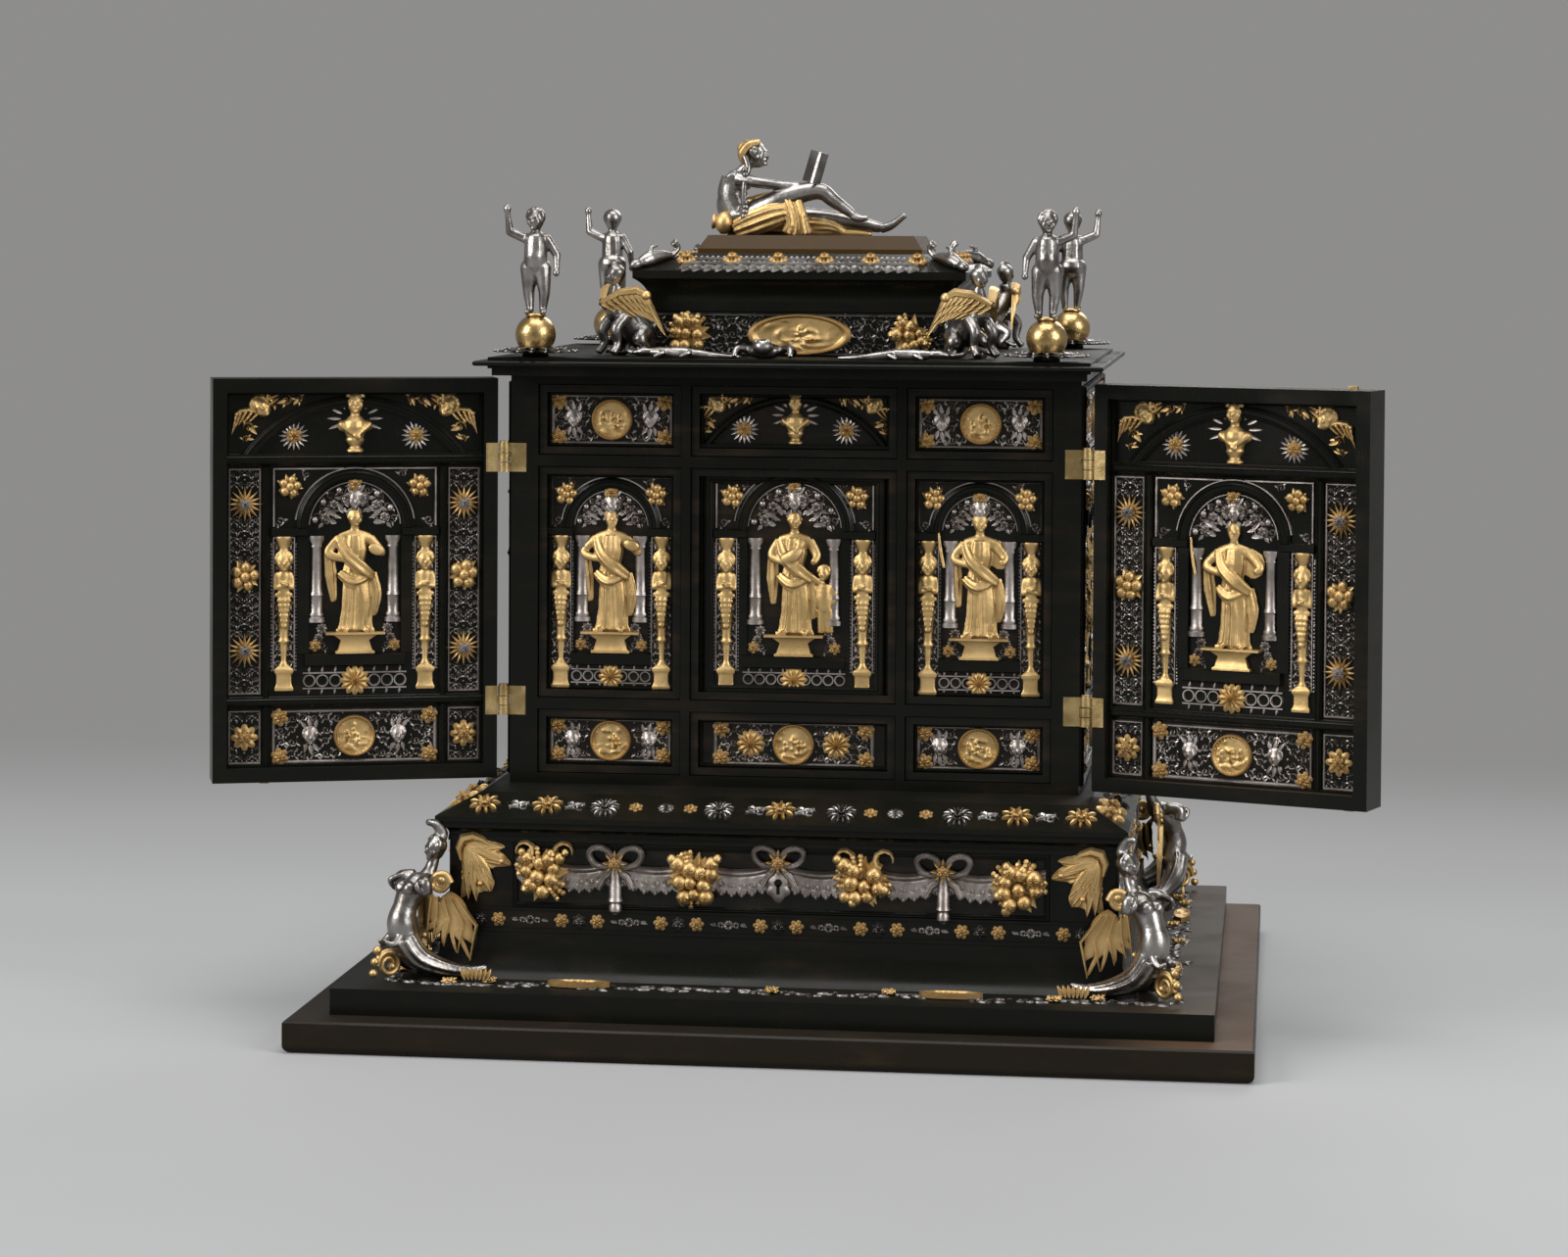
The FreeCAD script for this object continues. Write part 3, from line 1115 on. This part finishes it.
# Harpy of the lower case's corners, leaning out along its diagonal; shares of its height
HARPY_SHARES = [
    ((0, 0, 0.1), (-0.12, 0, 0.3), 0.08, 0.075), ((-0.12, 0, 0.3), (-0.04, 0, 0.52), 0.075, 0.085),
    ((-0.04, 0, 0.52), (-0.08, 0, 0.68), 0.085, 0.065), ((-0.08, 0, 0.7), (-0.13, 0, 0.78), 0.035, 0.035),
    ((-0.13, 0, 0.82), (-0.13, 0, 0.87), 0.055, 0.055), ((-0.04, 0.06, 0.6), (0.04, 0.12, 0.48), 0.03, 0.02),
    ((-0.04, -0.06, 0.6), (0.04, -0.12, 0.48), 0.03, 0.02),
    ((-0.14, 0, 0.9), (-0.13, 0, 0.97), 0.04, 0.02),
]
# The coil under a harpy: radius as a share of its place, height as a share of its own
COIL_RADIUS_SHARE = 0.6
COIL_HEIGHT_SHARE = 0.06
BAT_WING_SHARES = [
    (0, 0.3), (0.08, 0.9), (0.3, 0.8), (0.62, 1), (0.92, 0.82), (1, 0.4), (0.97, 0), (0.82, 0.32),
    (0.68, 0.1), (0.55, 0.4), (0.42, 0.2), (0.3, 0.46), (0.18, 0.3), (0.1, 0.5),
]


def corners(x, front, back):
    """The four corners with their outward diagonals."""
    return [(-x, -front, 225), (x, -front, 315), (x, back, 45), (-x, back, 135)]


def lower_beasts():
    height, coil = val("harpy_height"), val("harpy_place") * COIL_RADIUS_SHARE
    harpy = carve(HARPY_SHARES, height, [Part.makeCylinder(coil, height * COIL_HEIGHT_SHARE)])
    out = val("foot_spread") + coil
    reach, deep = CASE_HALF + out, CASE_FRONT + out
    feature("corner_harpies", [solid for x, y, angle in corners(reach, deep, deep)
                               for solid in moved([harpy], turn(x, y, val("step_top"), angle))])
    wings = []
    width, tall = val("eagle_wing_width"), val("eagle_wing_height")
    for angle, half, face in ((0, CASE_HALF, CASE_FRONT), (180, CASE_HALF, CASE_FRONT),
                              (90, CASE_FRONT, CASE_HALF), (-90, CASE_FRONT, CASE_HALF)):
        for side in (-1, 1):
            start = half + val("bat_wing_reach")
            outline = [(side * (start - x * width), z * tall) for x, z in BAT_WING_SHARES]
            wing = prism(outline, val("wing_thickness"))
            wings += moved(moved([wing], turn(0, -face - val("foot_spread") - val("mount_gap"),
                                              val("band_bottom") - val("mount_gap"))), turn(0, 0, 0, angle))
    feature("harpy_wings", wings)


# How deep the globes sink into their skirts and the children into their globes
GLOBE_SEAT_SHARE = 0.95
PUTTO_SEAT_SHARE = 0.94
LIZARD_SHARES = [
    ((-0.5, 0, 0.035), (-0.1, 0, 0.05), 0.015, 0.05), ((-0.1, 0, 0.05), (0.25, 0, 0.055), 0.05, 0.05),
    ((0.25, 0, 0.055), (0.45, 0, 0.06), 0.035, 0.045), ((-0.05, 0, 0.04), (-0.12, -0.12, 0.025), 0.025, 0.02),
    ((0.2, 0, 0.04), (0.26, -0.12, 0.025), 0.025, 0.02),
]


def winged_beast(wing_sides):
    height = val("beast_height")
    foot = Part.makeCylinder(*(share * height for share in BEAST_FOOT_SHARES))
    ahead, aside = (share * height for share in BEAST_PAW_PLACE_SHARES)
    paws = [Part.makeCylinder(*(share * height for share in BEAST_PAW_SHARES), V(ahead, side * aside, 0))
            for side in (-1, 1)]
    wings = [((x, side * y, z), (u, side * v, w), start, end)
             for side in wing_sides for (x, y, z), (u, v, w), start, end in BEAST_WING_SHARES]
    return carve(BEAST_SHARES + wings, height, [foot, *paws])


def upper_figures():
    top = val("cornice_top")
    radius, collar = val("globe_radius"), val("collar_height")
    inset = val("disc_proud") - val("globe_front_inset")
    reach = val("carcass_width") / 2 + val("disc_proud") - val("globe_inset")
    front = val("carcass_front") + val("cornice_front_extra") + inset
    back = val("carcass_back") + val("disc_proud") - val("globe_back_inset")
    centre = collar + radius * GLOBE_SEAT_SHARE
    ball = Part.makeSphere(radius, V(0, 0, centre))
    cuff = Part.makeCylinder(val("collar_radius"), centre, V(0, 0, 0))
    skirt = Part.makeCone(val("skirt_radius"), val("collar_radius") + collar, val("skirt_height"))
    globe = fused([ball, cuff, skirt])
    sunk = radius * PUTTO_SEAT_SHARE
    seat = Part.makeSphere(radius + val("mount_gap"), V(0, 0, -sunk))
    right = carve(PUTTO_SHARES, val("putto_height")).cut(seat)
    left = right.mirror(V(0, 0, 0), V(1, 0, 0))
    globes, putti = [], []
    for x, y, facing, putto in ((-reach, -front, 0, left), (reach, -front, 0, right),
                                (reach, back, 180, left), (-reach, back, 180, right)):
        globes += moved(globe, turn(x, y, top))
        putti += moved(putto.Solids, turn(x, y, top + centre + sunk, facing))
    feature("globes", globes)
    feature("putti", putti)

    away = val("beast_place")
    half = val("attic_width") / 2 + away
    shapes = []
    for x, y, angle in corners(half, val("attic_front") + away, val("attic_back") + away):
        # The lid swings down behind the attic, so the back pair have a wing only beside it
        wing_sides = (-1, 1) if y < 0 else (-1,) if x > 0 else (1,)
        shapes += moved([winged_beast(wing_sides)], turn(x, y, top, angle))
    lizard_length, thick = val("lizard_length"), val("creature_thickness")
    edge = val("carcass_front") + val("cornice_front_extra") + val("crown_slab_proud")
    along = val("creature_inset") - edge
    body = block(-lizard_length / 2, lizard_length / 2, -thick / 2, thick / 2, 0, thick / 2)
    lizard = carve(LIZARD_SHARES, lizard_length, [body])
    for side in (-1, 1):
        shapes += moved([lizard], turn(side * val("attic_width") / 3, along, top, 90 - 90 * side))
    dome = Part.makeSphere(3 * thick / 2, V(0, 0, thick / 2), V(0, 0, 1), 0, 90, 360)
    shell = fused([Part.makeCylinder(2 * thick, thick / 2), dome])
    shapes += moved(shell, turn(-val("attic_width") / 12, along, top))
    feature("cornice_beasts", shapes)


base()
lower_case()
base_drawer()
carcass()
drawers()
door("left", 1)
door("right", -1)
hinges()
bolts()
attic()
lower_beasts()
upper_figures()
doc.recompute()

os.makedirs("parts", exist_ok=True)
failed = [obj.Label for obj in doc.Objects if "Invalid" in obj.State or "Error" in obj.State]
failed += [obj.Label for obj in NODES
           if obj.Shape.isNull() or not obj.Shape.isValid() or not obj.Shape.Solids]
if failed:
    raise RuntimeError("pieces that failed: " + ", ".join(failed))
for obj in NODES:
    obj.Shape.exportStep(f"parts/{obj.Label}.step")
print(len(NODES), "pieces,", sum(len(obj.Shape.Solids) for obj in NODES), "solids")
